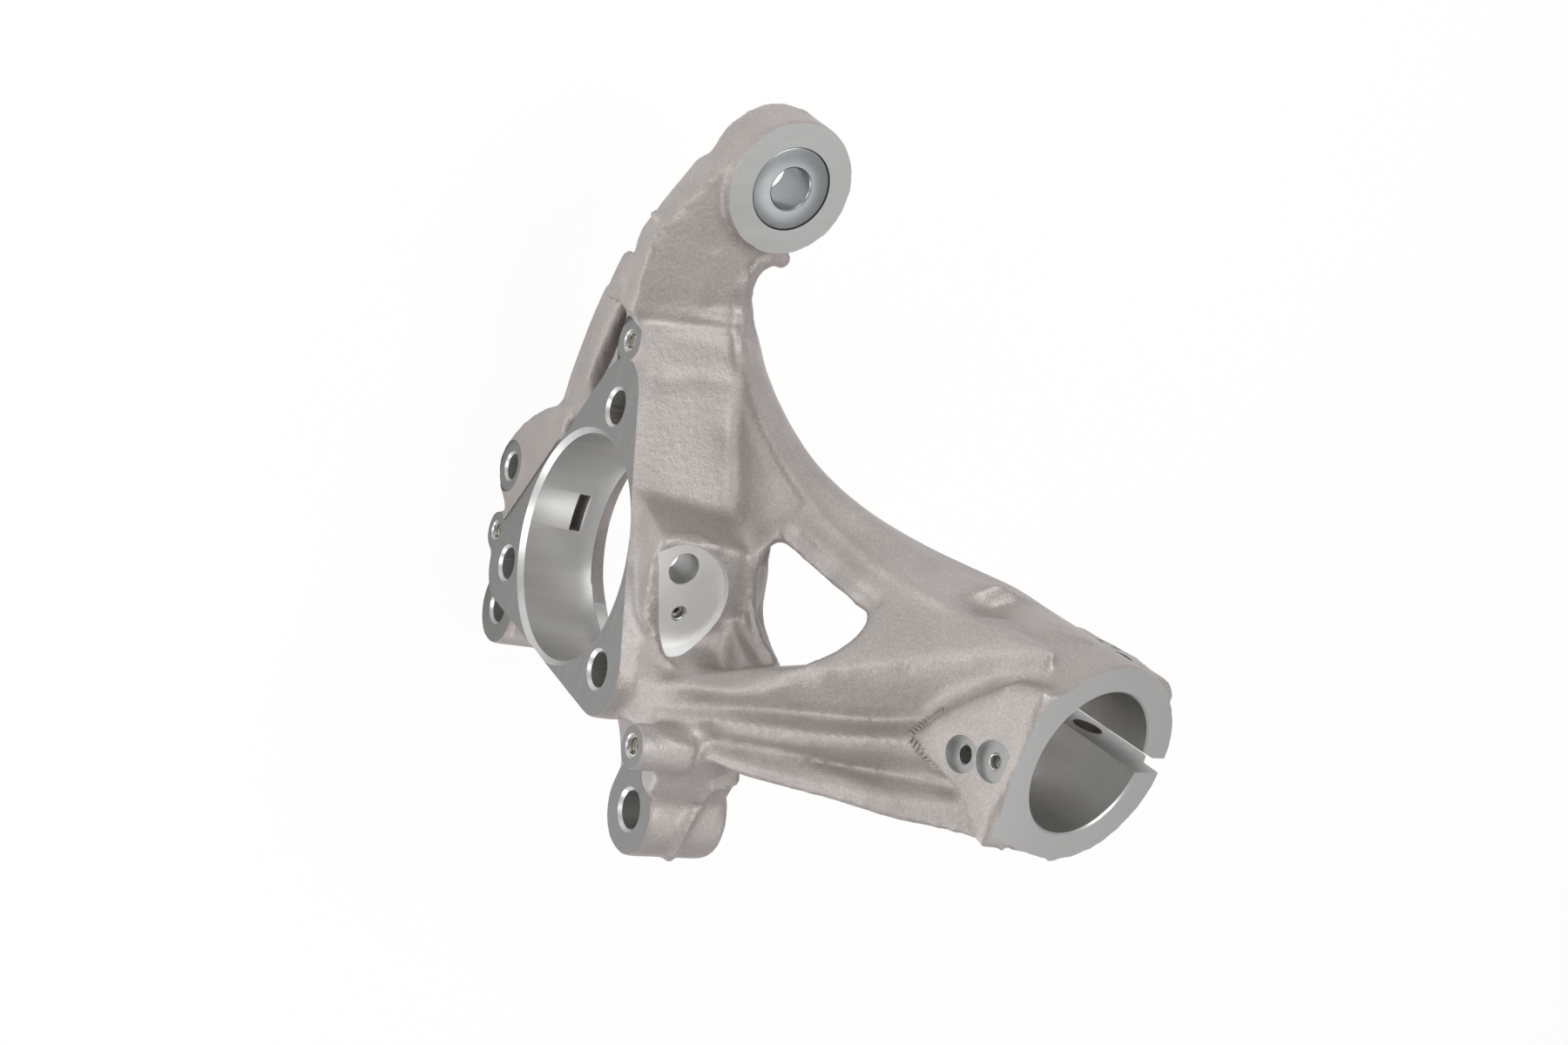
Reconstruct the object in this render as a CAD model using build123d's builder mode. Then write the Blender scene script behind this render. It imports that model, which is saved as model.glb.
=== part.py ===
"""Steering knuckle for a left front wheel: one aluminium casting with machined faces and bores, a steel bush
pressed into the eye of the steering arm, and wire thread inserts in the three shield lugs.

Millimetres. The origin is the centre of the hub bore on the machined flange face. +Y points outboard along the
wheel axis, +X forward along the steering arm and +Z up towards the strut.
"""
from build123d import *
import math
import os

# Hub bore, from the flange face inboard
bore_r = 44.0
bore_chamfer = 2.0
bore_depth = 26.0
seat_r = 41.0
seat_depth = 31.5
exit_r = 40.0
exit_flare = 5.0
drain_width = 16.0
drain_length = 5.0
drain_y = -22.0
drain_depth = 8.0

# Flange and the barrel behind it
flange_corner_r = 17.5
flange_thick = 13.0
bolt_circle_r = 56.7
bolt_count = 3
bolt_hole_r = 6.55
hole_chamfer = 1.2
barrel_r = 52.0
barrel_length = 37.0
barrel_flat = 46.4
wall_angle = 60.3

# Hood: the thicker sector over the top of the barrel
hood_edge_r = 46.5
hood_r = 58.0
hood_rise_length = 12.0
hood_length = 50.0
hood_lip = 1.5
hood_lip_length = 6.0
hood_end = 58.0
hood_end_drop = 7.0
end_rib_thick = 18.0
root_fill_face = 9.0
hood_from = 110.0
hood_sweep = 43.0

# Shoulder: the root between the hub and the steering arm
cast_step = 1.0
mill_over = 0.5
shoulder_depth = 40.0
shoulder_draft = 5.0
root_pocket_depth = 27.0
root_pocket_draft = 6.0

# Steering arm and its eye
eye_x = 153.7
eye_y = -33.5
eye_z = 9.2
arm_thick = 15.0
arm_draft = 8.0
arm_skirt = 4.0
arm_root_out = 7.0
arm_root_depth = 27.0
eye_r = 25.6
eye_rise = 4.8
eye_drop = 1.5

# Bush in the eye
bush_bore_r = 7.9
bush_sleeve_r = 11.0
bush_flange_r = 15.5
bush_flange_thick = 2.2
bush_recess = 0.4
bush_gap = 0.35
bush_chamfer = 0.6
press_gap = 0.01

# Strut clamp, with its slot on the inboard side and a pinch bolt across it
clamp_x = 15.0
clamp_y = -111.0
clamp_z = 181.0
clamp_lean = 6.3
clamp_bore_r = 26.0
clamp_wall = 9.8
clamp_length = 66.0
clamp_chamfer = 1.0
slot_width = 5.6
ear_half_width = 27.0
ear_length = 44.0
ear_corner_r = 9.0
pinch_reach = 36.5
pinch_drop = 33.0
pinch_hole_r = 5.5
pinch_spot_r = 10.0
pinch_spot_depth = 1.5
strut_relief = 1.5

# Neck between the hub and the strut clamp, drawn on its sloping outboard face
neck_slope = 53.6
neck_face = 34.5
neck_thick = 30.0
neck_corner_r = 5.0
neck_draft = 8.0
web_thick = 9.0
valley_over = 0.5
# Valleys, section by section: place along the neck, X of the rib side, X of the bottom, depth, X of the far side
upper_valley = ((68, -28.3, -27.9, 1, -27.2), (95, -20.5, -17.5, 5.5, -9), (126, -10.5, -7, 9, 10),
                (155, 1.5, 6, 8, 26), (176, 12, 27, 5, 41))
lower_valley = ((70, -33.2, -33.6, 1, -34.2), (100, -23.5, -30, 6, -33.4), (132, -12.5, -22, 9, -26),
                (158, -1.7, -14, 9, -18), (184, -3, -6, 3, -8.5))

# Front leg from the shoulder up to the neck
leg_corner_r = 4.0
# Sections, from the shoulder up: height, then the window edge, rim, flank, back and window-side back corners
leg_sections = ((-10, (52, -34), (98, -38), (97.5, -53), (78.6, -66), (60, -62)),
                (8, (41, -38), (84, -41), (88.5, -49), (72, -65), (42, -60)),
                (30, (34, -40), (71, -41), (74.5, -52), (64, -66), (33, -60)),
                (64, (36, -43), (55, -50), (62.5, -57), (55, -74), (34, -73)),
                (98, (34, -51), (47, -60), (54, -73), (51.5, -98), (30, -92)),
                (134, (24, -56.5), (48, -71), (56.5, -88), (50, -114), (22, -110)))

# Caliper lugs
caliper_face = 17.5
caliper_hole_r = 7.0
caliper_lug_r = 16.5
caliper_length = 33.0
caliper_web_step = 3.0
caliper_a = (-71.3, 72.6)
caliper_b = (-60.3, -81.5)

# Lower joint boss
joint_place = (5.9, -72.6)
joint_hole_r = 5.4
joint_length = 36.0

# Shield lugs and their wire thread inserts
shield_places = ((81.3, -5.4), (-21.6, -68.2), (-38.1, 88.2))
shield_lug_r = 8.5
shield_lug_length = 22.0
lug_web_face = 13.0
lug_web_thick = 24.0
thread_r = 3.0
insert_wall = 0.8
insert_length = 9.0
insert_sink = 0.6
thread_depth = 15.0

# Wheel-speed sensor pad on top of the hood, with a D-shaped seat cut into it
sensor_pad_rise = 1.8
sensor_pad_depth = 26.0
sensor_pad_draft = 4.0
sensor_pad_corner_r = 4.0
sensor_flat = 7.2
sensor_flat_angle = 19.7
sensor_x = 6.7
sensor_y = -16.4
sensor_z = 57.0
sensor_seat_r = 20.4
sensor_hole_r = 5.8
sensor_hole_offset = 10.5
sensor_hole_depth = 22.0
sensor_screw_r = 2.6
sensor_screw_offset = (-6.5, -4.0)
sensor_screw_depth = 9.0

# Bracket screw holes in the boss below the clamp
boss_thick = 24.0
bracket_plain = (7.1, 165.6)
bracket_plain_face = 71.0
bracket_plain_r = 3.0
bracket_plain_spot_r = 6.1
bracket_thread = (10.9, 177.0)
bracket_thread_face = 73.4
bracket_thread_r = 2.5
bracket_thread_spot_r = 7.2
bracket_depth = 9.0
bracket_clear = 10.0

# Planes of the main faces
lean = math.radians(clamp_lean)
slope = math.radians(neck_slope)
neck_inward = (0, -math.sin(slope), -math.cos(slope))
hub_face = Plane.XZ
arm_face = Plane(origin=(eye_x, eye_y, eye_z), x_dir=(1, 0, 0.16), z_dir=(-0.160, -0.050, 0.986))
clamp_top = Plane(origin=(clamp_x, clamp_y, clamp_z), x_dir=(1, 0, 0),
                  z_dir=(0, -math.sin(lean), math.cos(lean)))
neck_plane = Plane(origin=tuple(-neck_face * c for c in neck_inward), x_dir=(1, 0, 0), z_dir=neck_inward)
web_plane = Plane(origin=(-17, -11.5, 73.7), x_dir=(68.6, -73.1, 99.3), z_dir=(0.525, 0.817, 0.239))
boss_plane = Plane(origin=(6.8, -64, 145), x_dir=(1, 0, 0), z_dir=(0, -0.96, -0.27))

clamp_r = clamp_bore_r + clamp_wall
bolt_places = PolarLocations(bolt_circle_r, bolt_count)
eye_length = eye_rise + arm_thick + eye_drop
insert_r = thread_r + insert_wall
far = 120.0


def inboard(y):
    """The flange face moved inboard by y; its local axes are X and Z."""
    return hub_face.offset(y)


def neck_section(along):
    """The plane across the neck at a place along it; its local axes are X and the height over the sloping face."""
    return Plane(origin=(0, neck_face * math.sin(slope) - along * math.cos(slope),
                         neck_face * math.cos(slope) + along * math.sin(slope)),
                 x_dir=(1, 0, 0), z_dir=(0, -math.cos(slope), math.sin(slope)))


def hub_radial(angle):
    """The plane through the hub axis at an angle from +X towards +Z; its local axes are radius and Y."""
    a = math.radians(angle)
    return Plane(origin=(0, 0, 0), x_dir=(math.cos(a), 0, math.sin(a)), z_dir=(-math.sin(a), 0, math.cos(a)))


with BuildPart() as knuckle:
    # Neck: a thick plate on the sloping face, which falls away towards the front leg
    with BuildSketch(neck_plane):
        with BuildLine():
            Polyline((-41, 44), (-39, 99), (-28, 153), (-20, 190), (49, 190), (48, 150), (44, 132), (32.5, 129.5),
                     (14.5, 121.5), (8, 113), (-3, 92), (-20, 64), (-26, 44), close=True)
        make_face()
        fillet(vertices().group_by(Axis.Y)[0], neck_corner_r)
    extrude(amount=neck_thick, taper=neck_draft)
    with BuildSketch(web_plane):
        with BuildLine():
            Polyline((-20, 0), (160, 0), (160, 80), (-20, 80), close=True)
        make_face()
    extrude(amount=far, mode=Mode.SUBTRACT)
    # Two valleys between the neck ribs, which widen and deepen from the hub towards the clamp
    for valley in (upper_valley, lower_valley):
        for along, rib_side, bottom, depth, far_side in valley:
            with BuildSketch(neck_section(along)):
                with BuildLine():
                    Polyline((rib_side, valley_over), (bottom, -depth), (far_side, valley_over), close=True)
                make_face()
        loft(mode=Mode.SUBTRACT)
    # Front leg
    for z, *corners in leg_sections:
        with BuildSketch(Plane.XY.offset(z)):
            with BuildLine():
                Polyline(*corners, close=True)
            make_face()
            fillet(vertices(), leg_corner_r)
    loft()
    # Web that rounds the corner of the window between the leg and the neck
    with BuildSketch(web_plane):
        with BuildLine():
            Spline((66, 27.5), (71.5, 23), (74.2, 17.2), (71.6, 11.8), (63.6, 4.9), (54, 1))
            Polyline((54, 1), (60, -4), (88, -3), (96, 10), (84, 26), (74, 30), (66, 27.5))
        make_face()
    extrude(amount=-web_thick)
    # Flange, a rounded triangle about the bolts, and the barrel
    with BuildSketch(hub_face):
        RegularPolygon(radius=bolt_circle_r + 2 * flange_corner_r, side_count=3)
        fillet(vertices(), flange_corner_r)
    extrude(amount=flange_thick)
    with BuildSketch(inboard(flange_thick / 2)):
        Circle(barrel_r)
        with Locations(Location((0, 0, 0), (0, 0, wall_angle))):
            with Locations((barrel_flat + barrel_r / 2, 0)):
                Rectangle(barrel_r, barrel_r, mode=Mode.SUBTRACT)
    extrude(amount=barrel_length - flange_thick / 2)
    # Hood over the top of the barrel
    with BuildSketch(hub_radial(hood_from)):
        with BuildLine():
            Polyline((bore_r, 0), (hood_edge_r, 0), (hood_r, -hood_rise_length), (hood_r, hood_lip_length - hood_length),
                     (hood_r + hood_lip, -hood_length), (hood_r - hood_end_drop, -hood_end),
                     (bore_r, -hood_end), (bore_r, -barrel_length), close=True)
        make_face()
    revolve(axis=Axis.Y, revolution_arc=hood_sweep)
    # Rib that closes the end of the hood and runs up behind the neck
    with BuildSketch(inboard(hood_end - end_rib_thick)):
        with BuildLine():
            Polyline((34, 44), (22, 47.5), (14, 50), (6, 53.5), (1, 59), (-3, 67), (-6, 76), (-16, 88), (-32, 78),
                     (-24, 44), (20, 40), (36, 32), close=True)
        make_face()
    extrude(amount=end_rib_thick)
    # Fillet mass between the hood and the root of the neck
    with BuildSketch(inboard(root_fill_face)):
        with BuildLine():
            Polyline((-30, 48), (-30, 66), (-19, 71), (-9, 60), (-6, 52), close=True)
        make_face()
    extrude(amount=hood_end - root_fill_face)
    # Pad for the sensor
    with BuildSketch(Plane.XY.offset(sensor_z + sensor_pad_rise)):
        with BuildLine():
            Polyline((28.5, -3), (29, -38), (22, -44), (-10, -44), (-17, -30), (-16, -12), (0, -5), close=True)
        make_face()
        fillet(vertices(), sensor_pad_corner_r)
    extrude(amount=-sensor_pad_depth, taper=-sensor_pad_draft)
    # Shoulder under the sloping top wall, and the thick root of the arm outboard of it
    with BuildSketch(inboard(cast_step)):
        with BuildLine():
            Polyline((-13, 59.5), (-8, 57), (90, 1.5), (98, 1), (104, -28), (92, -40), (46, -40), (34, -20),
                     (-20, 40), (-19, 54), close=True)
        make_face()
    extrude(amount=shoulder_depth, taper=-shoulder_draft)
    with BuildSketch(inboard(-arm_root_out)):
        with BuildLine():
            Polyline((92, 0.5), (122, 5.5), (116, -10), (108, -14), (92, -8), close=True)
        make_face()
    extrude(amount=arm_root_depth)
    # Steering arm: a flat beam with a wider skirt along its inboard edge, and the eye
    with BuildSketch(arm_face):
        with BuildLine():
            Polyline((-72, 34), (-62, 38), (-50, 42), (-33, 43.5), (-14, 35), (6, 24.7), (4, -25), (-14, -16),
                     (-25, -3), (-34, -0.5), (-46, -3), (-58, -9), (-74, -16), close=True)
        make_face()
    extrude(amount=-arm_thick, taper=arm_draft)
    with BuildSketch(arm_face.offset(-arm_skirt)):
        with BuildLine():
            Polyline((0, -24.3), (-22, -16), (-37, -8.5), (-46, -10.5), (-56, -17), (-66, -24.5), (-78, -32),
                     (-78, 0), (0, 0), close=True)
        make_face()
    extrude(amount=arm_skirt - arm_thick)
    with BuildSketch(arm_face.offset(eye_rise)):
        Circle(eye_r)
    extrude(amount=-eye_length)
    # Strut clamp: a barrel on the leaning strut axis with an ear on each side of its slot
    with BuildSketch(clamp_top):
        Circle(clamp_r)
    extrude(amount=-clamp_length)
    with BuildSketch(clamp_top.offset(ear_length / 2 - pinch_drop)):
        with Locations((0, -pinch_reach / 2)):
            Rectangle(2 * ear_half_width, pinch_reach + 2 * pinch_spot_r)
        fillet(vertices().group_by(Axis.Y)[0], ear_corner_r)
    extrude(amount=-ear_length)
    # Boss for the bracket screws, pointed towards the neck ribs
    with BuildSketch(boss_plane):
        with BuildLine():
            Polyline((-4.5, 1.5), (5.5, 6.5), (17, 16), (30, 29), (34, 46), (-26, 46), (-21, 36), (-11.5, 25),
                     (-9, 11.5), close=True)
        make_face()
    extrude(amount=boss_thick)
    with BuildSketch(clamp_top):
        Rectangle(far, far)
    extrude(amount=far, mode=Mode.SUBTRACT)
    # Caliper lugs and the webs that carry them
    with BuildSketch(inboard(caliper_face)):
        with Locations(caliper_a, caliper_b):
            Circle(caliper_lug_r)
    extrude(amount=caliper_length)
    with BuildSketch(inboard(caliper_face + caliper_web_step)):
        with BuildLine():
            Polyline((-68, 57), (-59, 87), (-26, 92), (-10, 60), (-30, 46), close=True)
        make_face()
    extrude(amount=caliper_length - 2 * caliper_web_step)
    with BuildSketch(inboard(caliper_face + caliper_web_step)):
        with BuildLine():
            Polyline((-73, -71), (-52, -34), (-20, -46), (0, -80), (-52, -96), close=True)
        make_face()
    extrude(amount=caliper_length / 2)
    with BuildSketch(inboard(lug_web_face)):
        with BuildLine():
            Polyline((-30, 54), (-40, 67), (-57, 80), (-58, 88), (-47, 90), (-40, 93), (-32, 80), (-25, 62),
                     close=True)
        make_face()
    extrude(amount=lug_web_thick)
    # Lower joint boss and the shield lugs
    with BuildSketch(hub_face):
        with BuildLine():
            Spline((46, -36), (35, -62), (25, -75), (14, -83), (4, -85), (-6, -77), (-14, -60))
            Line((-14, -60), (0, -40))
            Line((0, -40), (46, -36))
        make_face()
    extrude(amount=joint_length)
    with BuildSketch(hub_face):
        with Locations(*shield_places):
            Circle(shield_lug_r)
    extrude(amount=shield_lug_length)
    # Milled face over the flange and the shield lugs
    with BuildSketch(hub_face):
        RegularPolygon(radius=bolt_circle_r + 2 * (flange_corner_r + mill_over), side_count=3)
        fillet(vertices(), flange_corner_r + mill_over)
        with Locations(*shield_places):
            Circle(shield_lug_r + mill_over)
    extrude(amount=-far, mode=Mode.SUBTRACT)
    # Hub bore: machined seat, step and through opening
    with BuildSketch(Plane.XY):
        with BuildLine():
            Polyline((0, 1), (bore_r + bore_chamfer + 1, 1), (bore_r, -bore_chamfer), (bore_r, -bore_depth),
                     (seat_r, -seat_depth), (exit_r, -seat_depth), (exit_r, -barrel_length),
                     (exit_r + exit_flare, -far), (0, -far), close=True)
        make_face()
    revolve(axis=Axis.Y, mode=Mode.SUBTRACT)
    with Locations((0, drain_y, -bore_r)):
        Box(drain_width, drain_length, 2 * drain_depth, mode=Mode.SUBTRACT)
    # Holes along the wheel axis
    with BuildSketch(hub_face):
        with bolt_places:
            Circle(bolt_hole_r)
        with Locations(joint_place):
            Circle(joint_hole_r)
        with Locations(caliper_a, caliper_b):
            Circle(caliper_hole_r)
    extrude(amount=far, mode=Mode.SUBTRACT)
    with BuildSketch(hub_face):
        with Locations(*shield_places):
            Circle(insert_r + press_gap)
    extrude(amount=thread_depth, mode=Mode.SUBTRACT)
    # Pocket in the root of the arm, open outboard between the top wall and the bottom rib
    with BuildSketch(inboard(-arm_root_out)):
        with BuildLine():
            Polyline((94, -12), (80, -16), (64, -19), (52, -26), (56, -33), (86, -32), (97, -23), close=True)
        make_face()
    extrude(amount=arm_root_out + root_pocket_depth, taper=root_pocket_draft, mode=Mode.SUBTRACT)
    # Strut bore, slot and pinch bolt hole
    with BuildSketch(clamp_top):
        Circle(clamp_bore_r)
        with Locations((0, -far / 2)):
            Rectangle(slot_width, far)
    extrude(amount=-clamp_length, mode=Mode.SUBTRACT)
    with BuildSketch(clamp_top.offset(-clamp_length)):
        Circle(clamp_bore_r + strut_relief)
    extrude(amount=-far, mode=Mode.SUBTRACT)
    pinch_axis = Plane(clamp_top.offset(-pinch_drop).origin, x_dir=(0, -math.cos(lean), -math.sin(lean)),
                       z_dir=(1, 0, 0))
    with Locations(pinch_axis):
        with Locations((pinch_reach, 0, 0)):
            Cylinder(pinch_hole_r, far, mode=Mode.SUBTRACT)
        with Locations((pinch_reach, 0, ear_half_width), (pinch_reach, 0, -ear_half_width)):
            Cylinder(pinch_spot_r, 2 * pinch_spot_depth, mode=Mode.SUBTRACT)
    # Eye bore with a recess for the flange of the bush
    with Locations(arm_face.offset(eye_rise)):
        Cylinder(bush_sleeve_r + press_gap, far, mode=Mode.SUBTRACT)
        Cylinder(bush_flange_r + bush_gap, 2 * (bush_flange_thick + bush_recess), mode=Mode.SUBTRACT)
    # Sensor seat, its hole and its screw hole
    with BuildSketch(Plane.XY.offset(sensor_z)):
        with Locations((sensor_x, sensor_y)):
            Circle(sensor_seat_r)
            with Locations(Location((0, 0, 0), (0, 0, sensor_flat_angle))):
                with Locations((0, sensor_flat + sensor_seat_r)):
                    Rectangle(2 * sensor_seat_r, 2 * sensor_seat_r, mode=Mode.SUBTRACT)
    extrude(amount=far, mode=Mode.SUBTRACT)
    with BuildSketch(Plane.XY.offset(sensor_z)):
        with Locations((sensor_x + sensor_hole_offset, sensor_y)):
            Circle(sensor_hole_r)
    extrude(amount=-sensor_hole_depth, mode=Mode.SUBTRACT)
    with BuildSketch(Plane.XY.offset(sensor_z)):
        with Locations((sensor_x + sensor_screw_offset[0], sensor_y + sensor_screw_offset[1])):
            Circle(sensor_screw_r)
    extrude(amount=-sensor_screw_depth, mode=Mode.SUBTRACT)
    # Bracket screw holes and their spot faces
    for place, face, hole_r, spot_r in ((bracket_plain, bracket_plain_face, bracket_plain_r, bracket_plain_spot_r),
                                        (bracket_thread, bracket_thread_face, bracket_thread_r,
                                         bracket_thread_spot_r)):
        with BuildSketch(inboard(face)):
            with Locations(place):
                Circle(spot_r)
        extrude(amount=-bracket_clear, mode=Mode.SUBTRACT)
        with BuildSketch(inboard(face)):
            with Locations(place):
                Circle(hole_r)
        extrude(amount=bracket_depth, mode=Mode.SUBTRACT)
    # Bright chamfers at the machined holes
    with BuildSketch(hub_face):
        with Locations(joint_place):
            Circle(joint_hole_r + hole_chamfer)
    extrude(amount=hole_chamfer, taper=45, mode=Mode.SUBTRACT)
    with BuildSketch(inboard(caliper_face)):
        with Locations(caliper_a, caliper_b):
            Circle(caliper_hole_r + hole_chamfer)
    extrude(amount=hole_chamfer, taper=45, mode=Mode.SUBTRACT)
    with BuildSketch(clamp_top):
        Circle(clamp_bore_r + clamp_chamfer)
    extrude(amount=-clamp_chamfer, taper=45, mode=Mode.SUBTRACT)

with BuildPart() as arm_bush:
    with BuildSketch(arm_face.offset(eye_rise - bush_recess)):
        Circle(bush_flange_r)
    extrude(amount=-bush_flange_thick)
    with BuildSketch(arm_face.offset(eye_rise - bush_recess)):
        Circle(bush_sleeve_r)
    extrude(amount=bush_recess - eye_length)
    with Locations(arm_face):
        Cylinder(bush_bore_r, far, mode=Mode.SUBTRACT)
    with BuildSketch(arm_face.offset(eye_rise - bush_recess)):
        Circle(bush_bore_r + bush_chamfer)
    extrude(amount=-bush_chamfer, taper=45, mode=Mode.SUBTRACT)

with BuildPart() as thread_inserts:
    with BuildSketch(inboard(insert_sink)):
        with Locations(*shield_places):
            Circle(insert_r)
            Circle(thread_r, mode=Mode.SUBTRACT)
    extrude(amount=insert_length)

os.makedirs("parts", exist_ok=True)
for name, piece in (("knuckle", knuckle), ("arm_bush", arm_bush), ("thread_inserts", thread_inserts)):
    piece.part.label = name
    export_step(piece.part, f"parts/{name}.step")
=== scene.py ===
import bpy
import bmesh
import math
import numpy as np
from mathutils import Matrix, Vector, noise
from mathutils.bvhtree import BVHTree


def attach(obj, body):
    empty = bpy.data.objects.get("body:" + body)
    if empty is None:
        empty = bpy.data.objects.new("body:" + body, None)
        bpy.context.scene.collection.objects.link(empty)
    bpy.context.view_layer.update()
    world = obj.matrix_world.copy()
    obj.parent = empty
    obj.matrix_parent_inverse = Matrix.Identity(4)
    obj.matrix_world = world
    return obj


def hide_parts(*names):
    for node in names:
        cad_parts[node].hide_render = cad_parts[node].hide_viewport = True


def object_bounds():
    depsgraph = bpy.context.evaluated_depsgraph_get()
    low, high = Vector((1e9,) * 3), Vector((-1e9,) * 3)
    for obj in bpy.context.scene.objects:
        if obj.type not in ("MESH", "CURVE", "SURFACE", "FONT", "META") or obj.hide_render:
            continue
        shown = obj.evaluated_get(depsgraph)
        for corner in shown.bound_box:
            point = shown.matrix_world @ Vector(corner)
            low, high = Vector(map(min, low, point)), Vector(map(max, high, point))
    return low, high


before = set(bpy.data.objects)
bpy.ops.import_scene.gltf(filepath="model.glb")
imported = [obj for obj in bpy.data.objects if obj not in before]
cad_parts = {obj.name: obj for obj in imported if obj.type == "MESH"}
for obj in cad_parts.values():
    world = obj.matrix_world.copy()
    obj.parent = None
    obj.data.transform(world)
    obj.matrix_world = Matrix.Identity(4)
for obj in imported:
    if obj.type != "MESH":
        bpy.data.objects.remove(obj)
cad_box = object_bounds()

MM = 0.001
PHOTO = (1800, 1200)
CAMERA_UNIT = 46  # the camera was worked out in units of this many millimetres

FORWARD = Vector((1, 0, 0))
OUTBOARD = Vector((0, 1, 0))
UP = Vector((0, 0, 1))

# Sizes that the dressed casting shares with the solids, in millimetres
BOLT_CIRCLE_R = 56.7
BOLT_HOLE_R = 6.55
FLANGE_CORNER_R = 17.5
HUB_BORE_R = 44
HUB_EXIT_R = 40
CALIPER_FACE = 17.5
CALIPER_HOLE_R = 7.0
CALIPER_LUGS = ((-71.3, 72.6), (-60.3, -81.5))
SHIELD_LUGS = ((81.3, -5.4), (-21.6, -68.2), (-38.1, 88.2))
INSERT_HOLE_R = 3.81
JOINT_BOSS = (5.9, -72.6)
JOINT_HOLE_R = 5.4
EYE = Vector((153.7, -33.5, 9.2))
EYE_AXIS = Vector((-0.160, -0.050, 0.986)).normalized()
EYE_RISE = 4.8
BUSH_HOLE_R = 11.01
BUSH_RECESS_R = 15.85
BUSH_SEAT = 2.2
LEAN = math.radians(6.3)
CLAMP = Vector((15, -111, 181))
CLAMP_AXIS = Vector((0, -math.sin(LEAN), math.cos(LEAN)))
CLAMP_BACK = Vector((0, -math.cos(LEAN), -math.sin(LEAN)))
STRUT_BORE_R = 26.0
SLOT_HALF = 2.8
SLOT_DEPTH = 66.5
PINCH = CLAMP - CLAMP_AXIS * 33 + CLAMP_BACK * 36.5
PINCH_HOLE_R = 5.5
EAR_FACE = 25.5
SENSOR = Vector((6.7, -16.4, 57))
SENSOR_HOLE = Vector((17.2, -16.4, 57))
SENSOR_HOLE_R = 5.8
SENSOR_SCREW = Vector((0.2, -20.4, 57))
SENSOR_SCREW_R = 2.6
SEAT_R = 20.4
SEAT_FLAT = 7.2
SEAT_TURN = math.radians(19.7)
SEAT_U = Vector((math.cos(SEAT_TURN), math.sin(SEAT_TURN), 0))
SEAT_V = Vector((-math.sin(SEAT_TURN), math.cos(SEAT_TURN), 0))
BRACKET_PIN = (7.1, 165.6)
BRACKET_SCREW = (10.9, 177.0)
BOLTS = [(BOLT_CIRCLE_R * math.cos(t), BOLT_CIRCLE_R * math.sin(t))
         for t in (math.radians(120 * k) for k in range(3))]


# ---------------------------------------------------------------- camera
def photo_camera():
    """The camera that the photograph's ellipses fix: its place, and its right, down and view directions."""
    hub_axis = Vector((-0.818, -0.152, -0.555)).normalized()
    height = Vector((0.473, 0.3705, -0.799))
    height = (height - hub_axis * height.dot(hub_axis)).normalized()
    rows = Matrix((hub_axis.cross(height), hub_axis, height))
    place = rows @ Vector((1.77 * CAMERA_UNIT, -0.19 * CAMERA_UNIT, -13.0 * CAMERA_UNIT))
    right, down, ahead = (rows @ Vector(v) for v in ((1, 0, 0), (0, 1, 0), (0, 0, 1)))
    data = bpy.data.cameras.new("photo_camera")
    data.lens = 36
    data.sensor_width = 36
    data.sensor_fit = "HORIZONTAL"
    data.clip_start = 0.01
    data.clip_end = 50
    camera = bpy.data.objects.new("photo_camera", data)
    bpy.context.scene.collection.objects.link(camera)
    turn = Matrix((right, -down, -ahead)).transposed().to_4x4()
    turn.translation = place * MM
    camera.matrix_world = turn
    bpy.context.scene.camera = camera
    return place, right, down, ahead


EYE_POINT, RIGHT, DOWN, AHEAD = photo_camera()


def pixel_ray(px, py):
    d = AHEAD + RIGHT * ((px - PHOTO[0] / 2) / PHOTO[0]) + DOWN * ((py - PHOTO[1] / 2) / PHOTO[0])
    return d.normalized()


# ---------------------------------------------------------------- mesh helpers, in millimetres
def mesh_object(name, verts, faces):
    mesh = bpy.data.meshes.new(name)
    mesh.from_pydata([tuple(c * MM for c in v) for v in verts], [], faces)
    mesh.validate()
    obj = bpy.data.objects.new(name, mesh)
    bpy.context.scene.collection.objects.link(obj)
    return obj


def side_axes(axis):
    helper = FORWARD if abs(axis.x) < 0.9 else UP
    a = (helper - axis * helper.dot(axis)).normalized()
    return a, axis.cross(a)


def turned(name, origin, axis, profile, steps=96):
    """A closed turned solid: its profile is (radius, height) from one end of the axis to the other."""
    a, b = side_axes(axis)
    verts, rings = [], []
    for r, h in profile:
        centre = origin + axis * h
        if r < 1e-6:
            rings.append([len(verts)])
            verts.append(centre)
            continue
        rings.append(list(range(len(verts), len(verts) + steps)))
        for i in range(steps):
            t = 2 * math.pi * i / steps
            verts.append(centre + a * (r * math.cos(t)) + b * (r * math.sin(t)))
    faces = []
    for lower, upper in zip(rings, rings[1:]):
        for i in range(steps):
            j = (i + 1) % steps
            if len(lower) == 1:
                faces.append((lower[0], upper[j], upper[i]))
            elif len(upper) == 1:
                faces.append((lower[i], lower[j], upper[0]))
            else:
                faces.append((lower[i], lower[j], upper[j], upper[i]))
    return mesh_object(name, verts, faces)


def rod(name, origin, axis, r, low, high, steps=64):
    return turned(name, origin, axis, ((0, low), (r, low), (r, high), (0, high)), steps)


def prism(name, origin, u, v, outline, low, high):
    """A closed prism over an outline given along u and v."""
    n = u.cross(v)
    count = len(outline)
    verts = [origin + u * x + v * y + n * h for h in (low, high) for x, y in outline]
    faces = [tuple(reversed(range(count))), tuple(range(count, 2 * count))]
    for i in range(count):
        j = (i + 1) % count
        faces.append((i, j, count + j, count + i))
    return mesh_object(name, verts, faces)


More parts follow.
